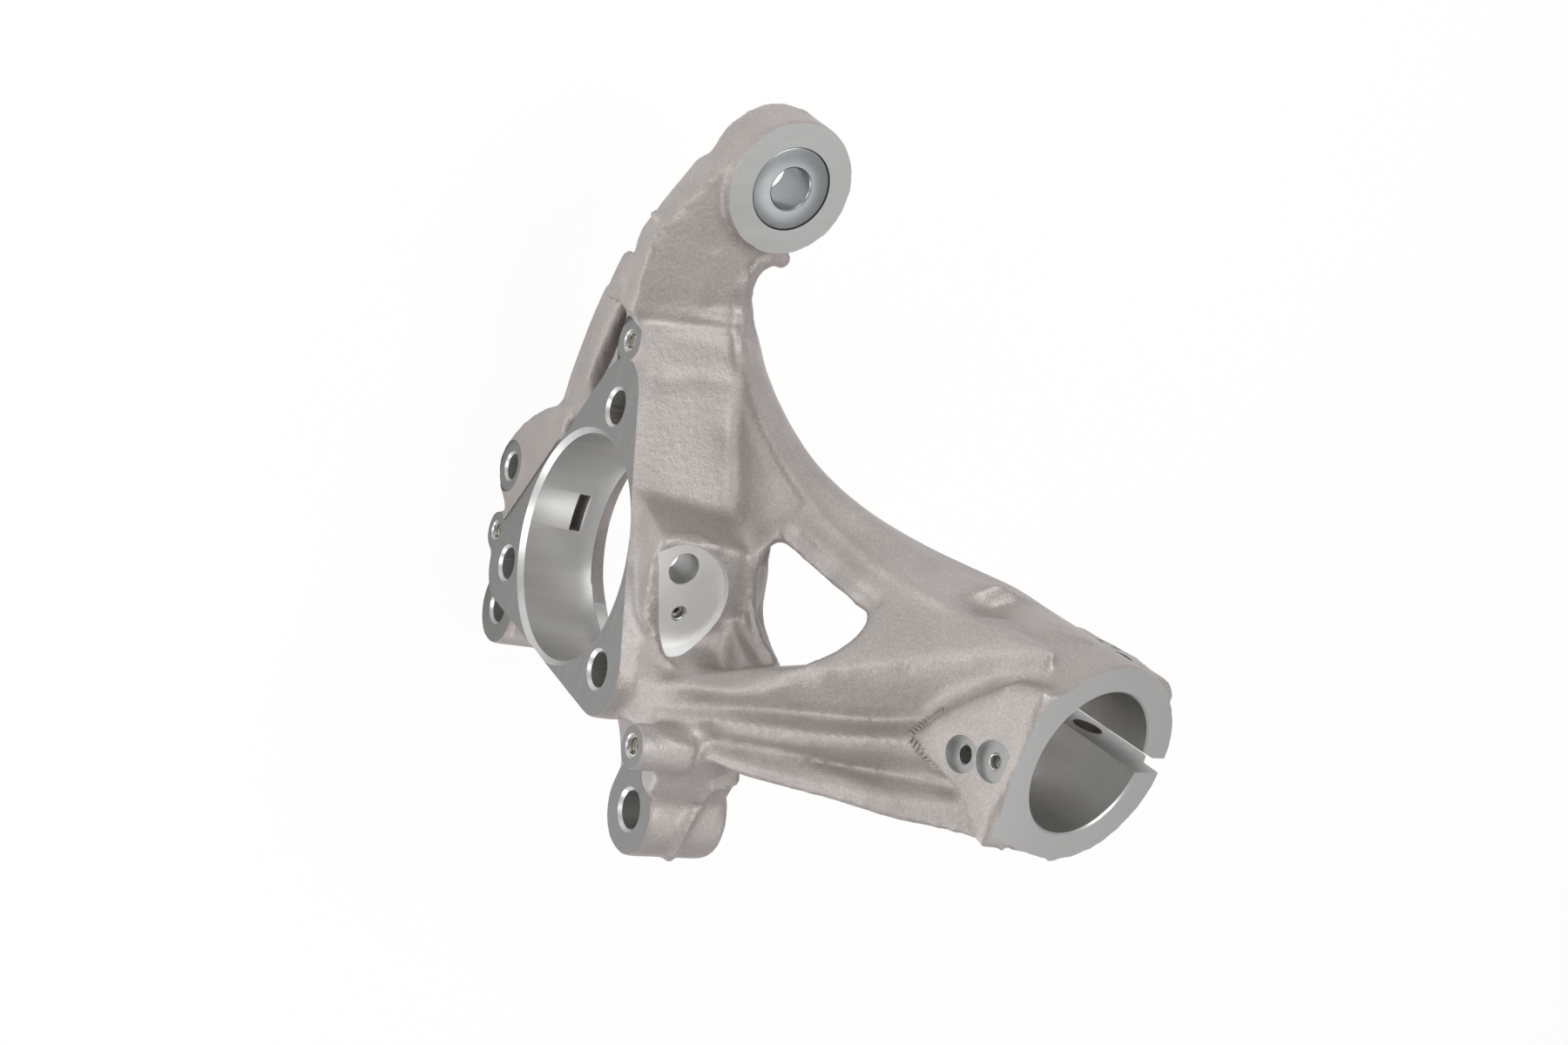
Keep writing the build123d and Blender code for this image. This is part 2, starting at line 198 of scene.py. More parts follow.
def facing_out(obj):
    bm = bmesh.new()
    bm.from_mesh(obj.data)
    bmesh.ops.remove_doubles(bm, verts=bm.verts, dist=1e-7)
    bmesh.ops.recalc_face_normals(bm, faces=bm.faces)
    bmesh.ops.triangulate(bm, faces=bm.faces)
    bm.to_mesh(obj.data)
    bm.free()
    return obj


CORNER_STEPS = 16
SEAT_STEPS = 72


def flange_outline(grow):
    """The rounded triangle about the three bolts, in X and Z."""
    points = []
    for k in range(3):
        mid = math.radians(120 * k)
        centre = (BOLT_CIRCLE_R * math.cos(mid), BOLT_CIRCLE_R * math.sin(mid))
        for i in range(CORNER_STEPS + 1):
            t = mid - math.pi / 3 + math.pi * 2 / 3 * i / CORNER_STEPS
            r = FLANGE_CORNER_R + grow
            points.append((centre[0] + r * math.cos(t), centre[1] + r * math.sin(t)))
    return points


def seat_outline(grow):
    """The D-shaped sensor seat about its centre."""
    r, flat = SEAT_R + grow, SEAT_FLAT + grow
    start = math.pi - math.asin(flat / r)
    sweep = math.pi + 2 * math.asin(flat / r)
    turns = [start + sweep * i / SEAT_STEPS for i in range(SEAT_STEPS + 1)]
    return [(r * math.cos(t), r * math.sin(t)) for t in turns]


def xz(p, y=0.0):
    return Vector((p[0], y, p[1]))


def joined(name, objects):
    bm = bmesh.new()
    for obj in objects:
        bm.from_mesh(obj.data)
        bpy.data.objects.remove(obj)
    mesh = bpy.data.meshes.new(name)
    bm.to_mesh(mesh)
    bm.free()
    obj = bpy.data.objects.new(name, mesh)
    bpy.context.scene.collection.objects.link(obj)
    return obj


def read_points(mesh):
    co = np.empty(len(mesh.vertices) * 3)
    mesh.vertices.foreach_get("co", co)
    return co.reshape(-1, 3)


def write_points(mesh, co):
    mesh.vertices.foreach_set("co", co.ravel())
    mesh.update()


def settled(obj):
    """Applies the object's modifiers."""
    graph = bpy.context.evaluated_depsgraph_get()
    graph.update()
    mesh = bpy.data.meshes.new_from_object(obj.evaluated_get(graph))
    obj.modifiers.clear()
    old = obj.data
    obj.data = mesh
    bpy.data.meshes.remove(old)
    return obj


# ---------------------------------------------------------------- raw casting
STOCK = 1.4
VOXEL = 1.35
ROUNDS = 14
SOFT_ROUNDS = 30
RING_CENTRE = CLAMP + CLAMP_BACK * 3.3 - Vector((0.7, 0, 0))
SLOT_FOOT = CLAMP + CLAMP_BACK * 35

# Plates behind the hub's wall: outline in X and Z, then how far inboard they start and end
WEBS = (
    ([(35, 32.5), (28.2, 57.8), (22, 57), (22, 30)], 2.5, 39),
    ([(-66, 57), (-55.5, 47.5), (-47, 36), (-36, 36), (-36, 80), (-55, 86), (-70, 80)], 18.5, 30),
)

# The metal between the sensor pad and the foot of the neck's top ridge: its low and high edge
# at either end, then the size of its bars
RIDGE_FOOT = ((Vector((-17.6, -25.0, 69.0)), Vector((-16.5, -21.5, 84.0))),
              (Vector((-14.5, -42.0, 74.0)), Vector((-11.5, -31.5, 93.0))))
RIDGE_FOOT_R = 3.2
RIDGE_FOOT_BARS = 7

# Gate stubs and flash: pixel, how far they stand below the eye's centre or the clamp's face, radius
EYE_NUBS = (
    ((878, 296), 7, 4.6), ((897, 297), 7, 4.2), ((753, 247), 7, 2.8), ((718, 320), 14, 4.0),
    ((921, 131), 8, 2.6), ((874, 297), 7, 4.6), ((862, 308), 7, 4.6), ((854, 322), 7, 4.4),
)
CLAMP_NUBS = (((1204, 986), 2, 1.6),)

# Rounded edges that stand a little fuller: radius, the step in pixels to the rows that tie them
# to the casting, then pixels with their Y
FULLER_ROWS = 3
FULLER = (
    (3.0, (4, -5), ((898, 614, -47), (920, 626, -50), (940, 644, -52), (960, 662, -55),
                    (980, 681, -56))),
    (3.0, (2, -7), ((852, 881, -38), (957, 908, -57), (1032, 933, -71), (1082, 942, -79))),
    (3.4, (8, 3), ((653, 467, -5), (662, 436, -5), (675, 400, -5), (689, 365, -5), (703, 333, -5))),
    (3.0, (6, 5), ((808, 186, -6), (786, 213, -1.5), (763, 241, 3))),
    (3.0, (8, 3), ((723, 294, 4.5), (712, 316, 4.5), (703, 337, 4))),
    (2.4, (-8, 0), ((890, 612, -44.5), (873, 635, -44.5), (863, 665, -44.5), (862, 700, -47),
                    (872, 735, -49.5), (886, 757, -51.5))),
    (3.2, (0, 6), ((869, 603, -45.5), (857, 611, -42.5))),
)

# Soft lines read off the photograph, in its pixels: name, height, half width, points
RELIEF = (
    ("rim bead", 1.4, 1.8,
     ((868, 300), (852, 330), (850, 352), (853, 391), (857, 428), (866, 463), (883, 500), (906, 540),
      (930, 575), (950, 600), (1000, 645), (1060, 680), (1107, 706), (1153, 716), (1200, 724),
      (1250, 738))),
    ("groove inside the bead", -1.0, 1.8,
     ((845, 345), (845, 400), (850, 440), (862, 480), (885, 530), (915, 580))),
    ("arm edge bead", 0.7, 1.8, ((834, 190), (794, 226), (771, 249), (756, 266))),
    ("crease at the arm root", -0.9, 2.0, ((736, 368), (786, 372), (846, 379))),
    ("soft step on the wall", -0.5, 3.5, ((763, 437), (800, 434), (833, 438))),
    ("wall hollow", -0.8, 5.0, ((840, 500), (846, 540), (848, 575))),
    ("leg window edge", 1.2, 1.9, ((903, 618), (925, 640), (958, 668), (990, 694))),
    ("leg channel", -1.1, 2.6, ((914, 612), (935, 632), (975, 665), (1004, 690))),
    ("pocket end rib", 0.8, 1.7, ((873, 635), (863, 665), (862, 700), (872, 735), (888, 758))),
    ("pocket end groove", -0.6, 2.4, ((856, 650), (853, 680), (853, 705))),
    ("seat lip", 1.6, 1.6, ((752, 640), (744, 680), (746, 720), (757, 752), (768, 764))),
    ("seat top lip", 0.9, 1.8, ((757, 632), (775, 616), (800, 616), (826, 628))),
    ("valley rib", 1.1, 1.6, ((757, 819), (846, 831), (940, 845), (1037, 852))),
    ("top ridge", 0.6, 3.0, ((745, 786), (800, 787), (850, 783), (900, 776), (945, 765))),
    ("lower ridge", 0.6, 2.4,
     ((756, 838), (783, 856), (823, 870), (873, 885), (940, 905), (1023, 921))),
    ("lug flash", 2.2, 1.9,
     ((847, 896), (818, 903), (800, 925), (787, 950), (775, 975), (768, 984))),
    ("boss edge above", 0.4, 1.8, ((1047, 845), (1073, 823), (1123, 798), (1160, 780))),
    ("boss edge below", 0.4, 1.8,
     ((1047, 849), (1073, 877), (1117, 907), (1133, 937), (1140, 957))),
)

# Places where the pattern maker left larger fillets: centre, reach
SOFT = (
    ((33, -56, 120), 15), ((44, -72, 134), 14), ((-32, -14, 80), 15), ((-12, -20, 63), 11),
    ((88, -42, 0), 12), ((33, -46, 50), 10), ((-46, -28, 78), 10), ((18, -74, 158), 12),
    ((-8, -70, 150), 12), ((60, -44, 40), 12), ((26, -42, 49), 9), ((-56, -26, 86), 11),
)


def on_plane(pixel, point, normal):
    """The point under a pixel of the photograph in the plane through a point."""
    ray = pixel_ray(*pixel)
    return EYE_POINT + ray * ((point - EYE_POINT).dot(normal) / ray.dot(normal))


def ball(centre, r):
    profile = [(r * math.sin(math.pi * i / 10), -r * math.cos(math.pi * i / 10)) for i in range(11)]
    return turned("s", centre, UP, profile, 24)


def bar(a, b, r):
    return rod("s", a, (b - a).normalized(), r, 0, (b - a).length, 24)


def machining_stock():
    """Metal that the foundry leaves where the faces and bores are machined."""
    bars = [(Vector(), OUTBOARD, 45.5, -37, STOCK)]
    bars += [(xz(p), OUTBOARD, 8.2, -36.5, STOCK) for p in BOLTS]
    bars += [(xz(p), OUTBOARD, 8.3, -20, STOCK) for p in SHIELD_LUGS]
    bars += [(xz(JOINT_BOSS), OUTBOARD, 10.5, -35.5, STOCK)]
    bars += [(xz(p, -CALIPER_FACE), OUTBOARD, 16.2, -32.7, STOCK) for p in CALIPER_LUGS]
    bars += [(EYE, EYE_AXIS, 25.3, -16.2, EYE_RISE + STOCK),
             (CLAMP, CLAMP_AXIS, 28, -65.5, STOCK),
             (CLAMP, CLAMP_AXIS, 35.6, -6, STOCK),
             (PINCH, FORWARD, 10.3, -27.0, 27.0),
             (SENSOR_HOLE, UP, 7.5, -16, -0.6),
             (SENSOR_SCREW, UP, 4.2, -12, -0.6)]
    bars += [(xz(p, -face), OUTBOARD, 4.0, -9.0, -0.4)
             for p, face in ((BRACKET_PIN, 71.0), (BRACKET_SCREW, 73.4))]
    stock = [rod("s", *values) for values in bars]
    stock.append(prism("s", Vector(), FORWARD, UP, flange_outline(-0.3), -STOCK, 6))
    stock.append(prism("s", SENSOR, SEAT_U, SEAT_V, seat_outline(0.6), -3, 1.7))
    for inboard, top in ((3, -STOCK), (11, 11.5)):
        outline = [(-5, -11), (5, -11), (5, inboard), (-5, inboard)]
        stock.append(prism("s", SLOT_FOOT, FORWARD, CLAMP_BACK, outline, top, 54.5))
    return stock


def cast_forms():
    """Small forms of the casting that the solids leave out."""
    ring = ((0, -40), (31.5, -40), (35.4, -12), (35.4, STOCK), (0, STOCK))
    forms = [turned("s", RING_CENTRE, CLAMP_AXIS, ring)]
    forms += [prism("s", Vector(), FORWARD, UP, *web) for web in WEBS]
    (a, b), (c, d) = RIDGE_FOOT
    for i in range(RIDGE_FOOT_BARS):
        share = i / (RIDGE_FOOT_BARS - 1)
        forms.append(bar(a.lerp(c, share), b.lerp(d, share), RIDGE_FOOT_R))
    for nubs, centre, axis in ((EYE_NUBS, EYE, EYE_AXIS), (CLAMP_NUBS, CLAMP, CLAMP_AXIS)):
        forms += [ball(on_plane(pixel, centre - axis * below, axis), r) for pixel, below, r in nubs]
    for r, (dx, dy), course in FULLER:
        for row in range(FULLER_ROWS):
            centres = [on_plane((px + dx * row, py + dy * row), Vector((0, y, 0)), OUTBOARD)
                       for px, py, y in course]
            forms += [ball(centre, r) for centre in centres]
            forms += [bar(a, b, r) for a, b in zip(centres, centres[1:])]
    return forms


def strokes_on(bvh, pixels, step=2.0):
    """Points and normals on the casting under a line drawn over the photograph."""
    points = []
    for (x0, y0), (x1, y1) in zip(pixels, pixels[1:]):
        count = max(1, int(math.hypot(x1 - x0, y1 - y0) / step))
        for i in range(count + 1):
            ray = pixel_ray(x0 + (x1 - x0) * i / count, y0 + (y1 - y0) * i / count)
            hit = bvh.ray_cast(EYE_POINT * MM, ray)
            if hit[0] is not None:
                points.append((tuple(hit[0] / MM), tuple(hit[1])))
    return points


def neighbour_pairs(mesh):
    """Each edge's two vertices, and how many edges meet at each vertex."""
    pairs = np.empty(len(mesh.edges) * 2, dtype=np.int64)
    mesh.edges.foreach_get("vertices", pairs)
    return pairs.reshape(-1, 2), np.maximum(np.bincount(pairs, minlength=len(mesh.vertices)), 1)


def averaged(co, pairs, count):
    total = np.empty_like(co)
    for k in range(3):
        total[:, k] = (np.bincount(pairs[:, 0], co[pairs[:, 1], k], len(co))
                       + np.bincount(pairs[:, 1], co[pairs[:, 0], k], len(co)))
    return total / count[:, None]


def rounded(obj, rounds, forward=0.6, back=-0.3):
    """Rounds every edge as a sand mould does, with little loss of size."""
    co = read_points(obj.data)
    pairs, count = neighbour_pairs(obj.data)
    for _ in range(rounds):
        co += forward * (averaged(co, pairs, count) - co)
        co += back * (averaged(co, pairs, count) - co)
    write_points(obj.data, co)


def softened(obj, rounds):
    """Rounds the places with larger fillets further."""
    co = read_points(obj.data)
    share = np.zeros(len(co))
    for centre, reach in SOFT:
        distance = np.linalg.norm(co / MM - np.array(centre), axis=1)
        share = np.maximum(share, np.exp(-(distance / reach) ** 2))
    pairs, count = neighbour_pairs(obj.data)
    for _ in range(rounds):
        co += (0.6 * share)[:, None] * (averaged(co, pairs, count) - co)
    write_points(obj.data, co)


def carve(obj, points, height, width):
    """Raises or sinks a soft line along the points; height and width in millimetres."""
    if not points:
        return
    mesh = obj.data
    co = read_points(mesh)
    normal = np.empty(len(co) * 3)
    mesh.vertex_normals.foreach_get("vector", normal)
    normal = normal.reshape(-1, 3)
    line = np.array([p for p, _ in points]) * MM
    line_normal = np.array([q for _, q in points])
    reach = 2.6 * width * MM
    near = np.all((co > line.min(0) - reach) & (co < line.max(0) + reach), axis=1)
    index = np.nonzero(near)[0]
    for part in np.array_split(index, max(1, len(index) // 4000)):
        if not len(part):
            continue
        gap = np.linalg.norm(co[part][:, None, :] - line[None, :, :], axis=2)
        best = gap.argmin(1)
        distance = gap[np.arange(len(part)), best] / MM
        side = (normal[part] * line_normal[best]).sum(1) > 0.1
        push = height * np.exp(-(distance / width) ** 2) * side * MM
        co[part] += normal[part] * push[:, None]
    write_points(mesh, co)


def wavy(obj):
    """The slight unevenness of a cast wall."""
    mesh = obj.data
    normals = [n.vector.copy() for n in mesh.vertex_normals]
    for vertex, normal in zip(mesh.vertices, normals):
        p = vertex.co / MM
        vertex.co += normal * ((0.10 * noise.noise(p / 12) + 0.03 * noise.noise(p / 4)) * MM)
    mesh.update()


def raw_casting():
    """The casting before it is machined, around a copy of the solid."""
    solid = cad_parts["knuckle"]
    body = bpy.data.objects.new("raw", solid.data.copy())
    bpy.context.scene.collection.objects.link(body)
    parts = [facing_out(part) for part in [body] + machining_stock() + cast_forms()]
    raw = joined("knuckle_casting", parts)
    bvh = BVHTree.FromObject(raw, bpy.context.evaluated_depsgraph_get())
    lines = [(strokes_on(bvh, pixels), height, width) for _, height, width, pixels in RELIEF]
    remesh = raw.modifiers.new("cast", "REMESH")
    remesh.mode = "VOXEL"
    remesh.voxel_size = VOXEL * MM
    settled(raw)
    rounded(raw, ROUNDS)
    softened(raw, SOFT_ROUNDS)
    for points, height, width in lines:
        carve(raw, points, height, width)
    rounded(raw, 1)
    wavy(raw)
    return raw


# ---------------------------------------------------------------- machining
# The finish of each face, which is also the number of its material on the casting
CAST_SKIN, MILLED_FACE, TURNED, STRUT_TURNED, SEAT_FACE, MILLED_END = range(6)
FAR = 120


def hole(origin, axis, r, depth, chamfer=0.0, above=3.0):
    """A drill with its mouth at the origin, going down against the axis, with a chamfer at its mouth."""
    profile = [(0, -depth), (r, -depth)]
    if chamfer:
        profile += [(r, -chamfer), (r + chamfer + above, above)]
    else:
        profile += [(r, above)]
    return turned("c", origin, axis, profile + [(0, above)])


def box_outline(half_width, half_height, middle=0.0):
    low, high = middle - half_height, middle + half_height
    return [(-half_width, low), (half_width, low), (half_width, high), (-half_width, high)]


def machining():
    """Cutters, each with the finish that it leaves."""
    cuts = []

    def cut(obj, finish):
        cuts.append((facing_out(obj), finish))

    def mill(origin, axis, r, low, high, finish, steps=64):
        cut(rod("c", origin, axis, r, low, high, steps), finish)

    # Faces
    cut(prism("c", Vector(), FORWARD, UP, flange_outline(1.2), -4, 0), MILLED_FACE)
    for p in SHIELD_LUGS:
        mill(xz(p), OUTBOARD, 8.9, 0, 4, MILLED_FACE)
    mill(xz(JOINT_BOSS), OUTBOARD, 11.0, 0, 4, MILLED_FACE)
    for p in CALIPER_LUGS:
        mill(xz(p, -CALIPER_FACE), OUTBOARD, 17.2, 0, 4, MILLED_FACE)
    mill(EYE, EYE_AXIS, 27.0, EYE_RISE, 9, MILLED_END)
    cut(prism("c", CLAMP, FORWARD, CLAMP_BACK, box_outline(48, 52, 8), -6, 0), MILLED_END)
    cut(prism("c", SENSOR, SEAT_U, SEAT_V, seat_outline(0), 0, 8), SEAT_FACE)

    # Hub bore, its cast exit and the pocket in its wall
    mill(Vector((3, 0, -4.5)), OUTBOARD, HUB_EXIT_R - 0.1, -FAR, -31, CAST_SKIN, 96)
    cut(turned("c", Vector(), OUTBOARD,
               ((0, -FAR), (45, -FAR), (HUB_EXIT_R, -37), (HUB_EXIT_R, -31.5), (41, -31.5),
                (HUB_BORE_R, -26), (HUB_BORE_R, -2), (49, 3), (0, 3)), 192), TURNED)
    cut(prism("c", Vector((0, 0, -HUB_BORE_R)), FORWARD, OUTBOARD, box_outline(8, 2.5, -22), -8, 8),
        CAST_SKIN)

    # Bolt and screw holes along the wheel axis
    for p in BOLTS:
        cut(hole(xz(p), OUTBOARD, BOLT_HOLE_R, 110, 1.2), TURNED)
    cut(hole(xz(JOINT_BOSS), OUTBOARD, JOINT_HOLE_R, 110, 1.0), TURNED)
    for p in CALIPER_LUGS:
        cut(hole(xz(p, -CALIPER_FACE), OUTBOARD, CALIPER_HOLE_R, 90, 1.2), TURNED)
    for p in SHIELD_LUGS:
        cut(hole(xz(p), OUTBOARD, INSERT_HOLE_R, 15, 0.5), TURNED)

    # Strut bore, its cast exit, the slot with a broken edge, and the pinch bolt hole with its seats
    cut(hole(CLAMP, CLAMP_AXIS, STRUT_BORE_R, 66, 0.6), STRUT_TURNED)
    mill(CLAMP, CLAMP_AXIS, 27.5, -150, -66, CAST_SKIN, 96)
    cut(prism("c", CLAMP + CLAMP_BACK * 60, FORWARD, CLAMP_BACK, box_outline(SLOT_HALF, 60),
              -4, SLOT_DEPTH), MILLED_END)
    cut(prism("c", CLAMP, FORWARD, CLAMP_BACK, [(2.4, 23.5), (5.0, 24.5), (2.4, 32.5)],
              -4, SLOT_DEPTH), STRUT_TURNED)
    mill(PINCH, FORWARD, PINCH_HOLE_R, -60, 60, STRUT_TURNED)
    mill(PINCH, FORWARD, 10.0, EAR_FACE, 40, MILLED_END)
    mill(PINCH, FORWARD, 10.0, -40, -EAR_FACE, MILLED_END)

    # Bush hole with its recess, sensor holes, and bracket holes with their spot faces
    mill(EYE, EYE_AXIS, BUSH_HOLE_R, -40, 10, MILLED_FACE)
    mill(EYE, EYE_AXIS, BUSH_RECESS_R, BUSH_SEAT, 10, MILLED_FACE)
    cut(hole(SENSOR_HOLE, UP, SENSOR_HOLE_R, 22, 0.3), MILLED_END)
    cut(hole(SENSOR_SCREW, UP, SENSOR_SCREW_R, 9, 0.5), MILLED_END)
    for p, face, r, spot in ((BRACKET_PIN, 71.9, 3.0, 6.1), (BRACKET_SCREW, 74.4, 2.5, 6.8)):
        mill(xz(p, -face), OUTBOARD, spot, 0, 10, MILLED_END)
        cut(hole(xz(p, -face), OUTBOARD, r, 9, 0.4), MILLED_END)
    return cuts


def machined(raw, cuts):
    """Cuts the raw casting and gives each new face the finish of the tool that left it."""
    for tool, _ in cuts:
        mod = raw.modifiers.new("cut", "BOOLEAN")
        mod.operation = "DIFFERENCE"
        mod.solver = "MANIFOLD"
        mod.object = tool
    settled(raw)
    mesh = raw.data
    finishes = {}
    for tool, finish in cuts:
        finishes.setdefault(finish, []).append(tool)
    centres = [(f.index, f.center.copy(), f.normal.copy()) for f in mesh.polygons]
    chosen = np.zeros(len(mesh.polygons), dtype=np.int32)
    for finish in (STRUT_TURNED, TURNED, MILLED_FACE, SEAT_FACE, MILLED_END):
        bm = bmesh.new()
        for tool in finishes[finish]:
            bm.from_mesh(tool.data)
        tree = BVHTree.FromBMesh(bm)
        bm.free()
        for index, centre, normal in centres:
            hit = tree.find_nearest(centre, 0.00002)
            if hit[0] is not None and abs(hit[1].dot(normal)) > 0.999:
                chosen[index] = finish
    for tool, _ in cuts:
        bpy.data.objects.remove(tool)
    return chosen


# ---------------------------------------------------------------- finishes
def shader(name):
    mat = bpy.data.materials.new(name)
    mat.use_nodes = True
    return mat, mat.node_tree, mat.node_tree.nodes["Principled BSDF"]


def node(tree, kind, **values):
    made = tree.nodes.new(kind)
    for key, value in values.items():
        if hasattr(made, key):
            setattr(made, key, value)
        else:
            made.inputs[key.replace("_", " ")].default_value = value
    return made


def speckle(tree, coords, scale, detail=2.0, rough=0.5):
    made = node(tree, "ShaderNodeTexNoise", Scale=scale, Detail=detail, Roughness=rough)
    tree.links.new(coords, made.inputs["Vector"])
    return made.outputs["Fac"]


def ramp(tree, value, stops):
    made = tree.nodes.new("ShaderNodeValToRGB")
    points = made.color_ramp.elements
    while len(points) < len(stops):
        points.new(0.5)
    for point, (place, colour) in zip(points, stops):
        point.position = place
        point.color = (*colour, 1)
    tree.links.new(value, made.inputs["Fac"])
    return made.outputs["Color"]


def scaled(tree, value, low, high):
    made = node(tree, "ShaderNodeMapRange")
    made.inputs["To Min"].default_value = low
    made.inputs["To Max"].default_value = high
    tree.links.new(value, made.inputs["Value"])
    return made.outputs["Result"]


def blasted_aluminium():
    """Sand-cast skin, shot-blasted: warm grey, a fine bright grain and faint darker clouds."""
    mat, tree, bsdf = shader("blasted_aluminium")
    place = node(tree, "ShaderNodeTexCoord").outputs["Object"]
    clouds = speckle(tree, place, 38, 4, 0.55)
    grain = speckle(tree, place, 1300, 3, 0.7)
    colour = ramp(tree, clouds, ((0.3, (0.40, 0.368, 0.352)), (0.7, (0.475, 0.441, 0.423))))
    speck = ramp(tree, grain, ((0.34, (0.84, 0.84, 0.84)), (0.55, (1.0, 1.0, 1.0)),
                               (0.68, (1.22, 1.21, 1.2))))
    mix = node(tree, "ShaderNodeMix", data_type="RGBA", blend_type="MULTIPLY")
    mix.inputs["Factor"].default_value = 0.85
    tree.links.new(colour, mix.inputs["A"])
    tree.links.new(speck, mix.inputs["B"])
    tree.links.new(mix.outputs["Result"], bsdf.inputs["Base Color"])
    bsdf.inputs["Metallic"].default_value = 0.65
    tree.links.new(scaled(tree, grain, 0.42, 0.58), bsdf.inputs["Roughness"])
    fine = node(tree, "ShaderNodeBump", Strength=0.5, Distance=0.0003)
    tree.links.new(grain, fine.inputs["Height"])
    orange = node(tree, "ShaderNodeBump", Strength=0.35, Distance=0.0006)
    tree.links.new(speckle(tree, place, 420, 2, 0.5), orange.inputs["Height"])
    tree.links.new(fine.outputs["Normal"], orange.inputs["Normal"])
    tree.links.new(orange.outputs["Normal"], bsdf.inputs["Normal"])
    return mat


def cut_aluminium(name, axis, bright, rough):
    """Machined aluminium with fine tool marks across the tool's axis."""
    mat, tree, bsdf = shader(name)
    place = node(tree, "ShaderNodeTexCoord").outputs["Object"]
    turn = node(tree, "ShaderNodeMapping")
    turn.inputs["Rotation"].default_value = axis.rotation_difference(UP).to_euler()
    turn.inputs["Scale"].default_value = (0.02, 0.02, 1.0)
    tree.links.new(place, turn.inputs["Vector"])
    marks = speckle(tree, turn.outputs["Vector"], 2600, 2, 0.6)
    bands = speckle(tree, turn.outputs["Vector"], 260, 2, 0.5)
    low = tuple(c * bright * 0.95 for c in (1.0, 1.0, 0.995))
    high = tuple(c * bright * 1.04 for c in (1.0, 1.0, 1.0))
    tree.links.new(ramp(tree, bands, ((0.3, low), (0.7, high))), bsdf.inputs["Base Color"])
    bsdf.inputs["Metallic"].default_value = 0.9
    tree.links.new(scaled(tree, marks, rough - 0.06, rough + 0.08), bsdf.inputs["Roughness"])
    bump = node(tree, "ShaderNodeBump", Strength=0.25, Distance=0.00006)
    tree.links.new(marks, bump.inputs["Height"])
    tree.links.new(bump.outputs["Normal"], bsdf.inputs["Normal"])
    return mat


def plated_steel():
    """Blue-passivated zinc on the turned bush."""
    mat, tree, bsdf = shader("zinc_plated_steel")
    place = node(tree, "ShaderNodeTexCoord").outputs["Object"]
    tone = speckle(tree, place, 240, 3, 0.6)
    colour = ramp(tree, tone, ((0.3, (0.312, 0.330, 0.338)), (0.7, (0.332, 0.350, 0.358))))
    tree.links.new(colour, bsdf.inputs["Base Color"])
    bsdf.inputs["Metallic"].default_value = 0.95
    gloss = scaled(tree, speckle(tree, place, 900, 3, 0.6), 0.27, 0.35)
    tree.links.new(gloss, bsdf.inputs["Roughness"])
    return mat


def wire_steel():
    """Stainless wire of the thread inserts."""
    mat, tree, bsdf = shader("insert_wire")
    place = node(tree, "ShaderNodeTexCoord").outputs["Object"]
    tone = speckle(tree, place, 900, 2, 0.5)
    colour = ramp(tree, tone, ((0.3, (0.60, 0.57, 0.50)), (0.7, (0.80, 0.77, 0.70))))
    tree.links.new(colour, bsdf.inputs["Base Color"])
    bsdf.inputs["Metallic"].default_value = 1.0
    bsdf.inputs["Roughness"].default_value = 0.24
    return mat


MILLING_FEED = Vector((1, 0, 0.2)).normalized()
CAST = blasted_aluminium()
FACE = cut_aluminium("milled_flange", MILLING_FEED, 0.27, 0.5)
# The seat's machined aluminium is painted brighter than the other cut faces. This is painted light that
# makes up for the shade the arm casts on the seat.
SEAT_PAINTED_BRIGHT = cut_aluminium("spot_faced_seat_painted_bright", UP, 0.80, 0.48)
ENDS = cut_aluminium("milled_ends", MILLING_FEED, 0.44, 0.46)
BORE = cut_aluminium("turned_hub_bore", OUTBOARD, 0.60, 0.34)
STRUT = cut_aluminium("turned_strut_bore", CLAMP_AXIS, 0.56, 0.32)
ZINC = plated_steel()
WIRE = wire_steel()


# ---------------------------------------------------------------- small pieces
def node_group(name, inputs):
    """A geometry node group with the named inputs, and its first and last node."""
    tree = bpy.data.node_groups.new(name, "GeometryNodeTree")
    face = tree.interface
    for socket, kind in (("Geometry", "Geometry"), *inputs, ("Finish", "Material")):
        face.new_socket(socket, in_out="INPUT", socket_type="NodeSocket" + kind)
    face.new_socket("Geometry", in_out="OUTPUT", socket_type="NodeSocketGeometry")
    return tree, tree.nodes.new("NodeGroupInput"), tree.nodes.new("NodeGroupOutput")


def realised(tree, enter, leave, spread):
    """Makes the instances real and gives them the finish."""
    real = tree.nodes.new("GeometryNodeRealizeInstances")
    finish = tree.nodes.new("GeometryNodeSetMaterial")
    tree.links.new(spread.outputs["Instances"], real.inputs["Geometry"])
    tree.links.new(real.outputs["Geometry"], finish.inputs["Geometry"])
    tree.links.new(enter.outputs["Finish"], finish.inputs["Material"])
    tree.links.new(finish.outputs["Geometry"], leave.inputs["Geometry"])


def grown(name, points, edges, tree, values):
    """The mesh that a node group builds on the points."""
    mesh = bpy.data.meshes.new(name)
    mesh.from_pydata([tuple(p) for p in points], edges, [])
    obj = bpy.data.objects.new(name, mesh)
    bpy.context.scene.collection.objects.link(obj)
    mod = obj.modifiers.new("nodes", "NODES")
    mod.node_group = tree
    for item in tree.interface.items_tree:
        if item.item_type == "SOCKET" and item.in_out == "INPUT" and item.name in values:
            mod[item.identifier] = values[item.name]
    return settled(obj)


